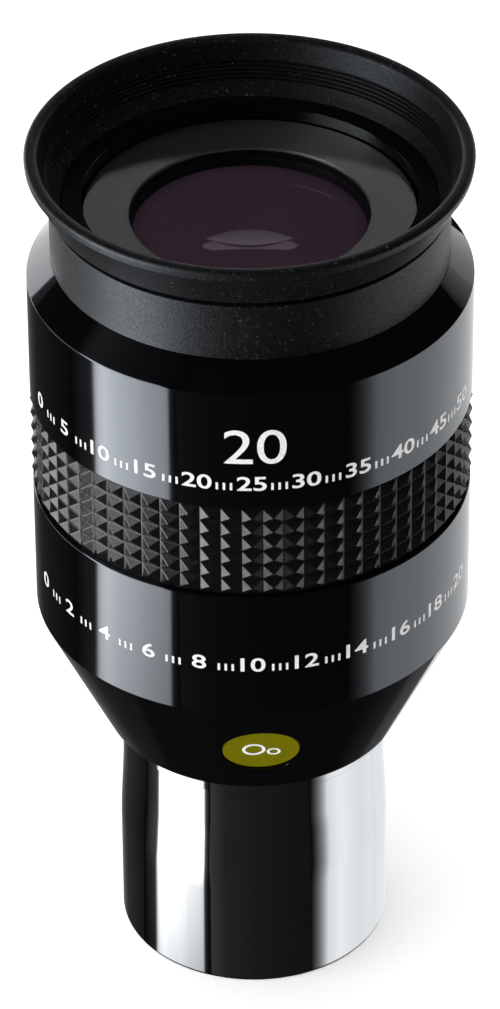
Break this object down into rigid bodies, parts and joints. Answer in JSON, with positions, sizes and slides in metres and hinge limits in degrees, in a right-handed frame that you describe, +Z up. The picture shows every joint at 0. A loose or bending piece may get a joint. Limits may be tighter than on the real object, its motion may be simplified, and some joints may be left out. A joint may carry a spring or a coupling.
{
  "type": "telescope eyepiece",
  "caption": "Cylindrical telescope eyepiece with a chrome push-fit barrel, a cone and cylinder housing, a knurled grip ring and a fold-down flared eyecup.",
  "frame": {"origin": "centre of the barrel's open end, on the optical axis", "axes": "+Z up the optical axis towards the eye, -Y the front with the purge disc (2.4 degrees towards +X), +X to the right seen from the front"},
  "size_m": [0.0506, 0.0508, 0.1072],
  "materials": {
    "chrome_barrel": "polished chrome plate",
    "black_gloss_metal": "gloss black anodised",
    "matte_black_metal": "matte black anodised",
    "grey_trim_metal": "matte grey anodised",
    "grip_rubber": "satin moulded",
    "eyecup_rubber": "matte moulded",
    "seal_rubber": "smooth",
    "coated_glass": "polished, purple anti-reflection coating",
    "inner_glass": "polished",
    "olive_disc": "satin olive enamel",
    "white_marks": "white screen-printed ink",
    "steel_plug": "turned"
  },
  "bodies": {
    "housing": {"barrel_tube": "chrome_barrel", "barrel_seal_oring": "seal_rubber", "lower_housing": "black_gloss_metal", "housing_seal_oring": "seal_rubber", "grip_ring": "grip_rubber", "upper_housing": "black_gloss_metal", "eyecup_sleeve": "eyecup_rubber", "eyecup_flare": "eyecup_rubber", "eye_trim_ring": "grey_trim_metal", "eye_lock_ring": "matte_black_metal", "eye_seal_oring": "seal_rubber", "optics_cell": "matte_black_metal", "eye_lens": "coated_glass", "doublet_a_crown": "inner_glass", "doublet_a_flint": "inner_glass", "doublet_b_crown": "inner_glass", "doublet_b_flint": "inner_glass", "upper_spacer": "matte_black_metal", "middle_spacer": "matte_black_metal", "lower_spacer": "matte_black_metal", "field_lens_cell": "matte_black_metal", "field_lens_lower": "inner_glass", "field_lens_upper": "inner_glass", "field_retaining_ring": "matte_black_metal", "field_seal_oring": "seal_rubber", "field_stop": "matte_black_metal", "baffle_tube": "matte_black_metal", "purge_disc": "olive_disc", "purge_plug": "steel_plug", "purge_seal_oring": "seal_rubber"},
    "eyecup_lip": {"eyecup_lip": "eyecup_rubber"}
  },
  "joints": [
    {"name": "eyecup_fold", "type": "slide", "parent": "housing", "child": "eyecup_lip", "axis": [0, 0, 1], "range_m": [-0.0098, 0], "deforming": ["eyecup_flare"]}
  ]
}
